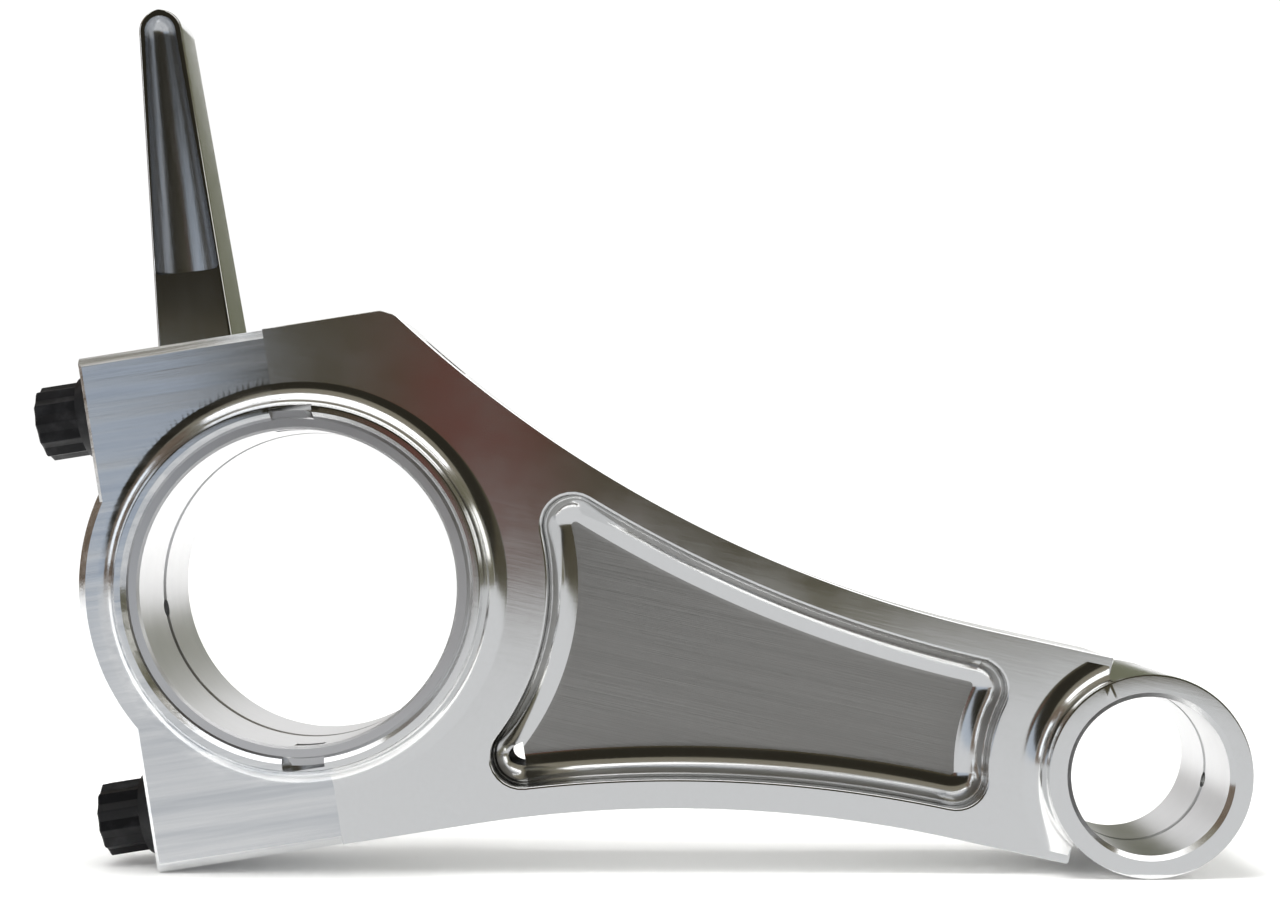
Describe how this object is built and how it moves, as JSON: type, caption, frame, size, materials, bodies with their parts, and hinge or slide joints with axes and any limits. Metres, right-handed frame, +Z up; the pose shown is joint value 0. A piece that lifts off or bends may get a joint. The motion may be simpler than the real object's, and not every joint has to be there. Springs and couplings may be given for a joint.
{
  "type": "connecting rod",
  "caption": "Billet connecting rod with an angled bolted cap, bearing shells, an I-section beam and a tapered oil dipper scoop on the cap.",
  "frame": {"origin": "centre of the big-end bore, half way across the rod", "axes": "+Y along the crankpin, +Z up, +X towards the small end, which lies below +X so that the lower corner of the cap and the small end share one level"},
  "size_m": [0.1568, 0.025, 0.1117],
  "materials": {
    "rod_metal": "polished, with a milled web",
    "cap_metal": "polished",
    "rod_lining": "satin",
    "cap_lining": "satin",
    "upper_bolt_steel": "black oxide",
    "lower_bolt_steel": "black oxide",
    "upper_dowel_steel": "ground",
    "lower_dowel_steel": "ground"
  },
  "bodies": {
    "rod": {"rod_body": "rod_metal", "rod_shell": "rod_lining", "upper_dowel": "upper_dowel_steel", "lower_dowel": "lower_dowel_steel"},
    "cap": {"bearing_cap": "cap_metal", "cap_shell": "cap_lining"},
    "upper_screw": {"upper_bolt": "upper_bolt_steel"},
    "lower_screw": {"lower_bolt": "lower_bolt_steel"}
  },
  "joints": [
    {"name": "cap_pull", "type": "slide", "parent": "rod", "child": "cap", "axis": [-0.9878, 0, -0.1555], "range_m": [0, 0.03]},
    {"name": "upper_bolt_draw", "type": "slide", "parent": "cap", "child": "upper_screw", "axis": [-0.9878, 0, -0.1555], "range_m": [0, 0.045]},
    {"name": "lower_bolt_draw", "type": "slide", "parent": "cap", "child": "lower_screw", "axis": [-0.9878, 0, -0.1555], "range_m": [0, 0.045]}
  ]
}
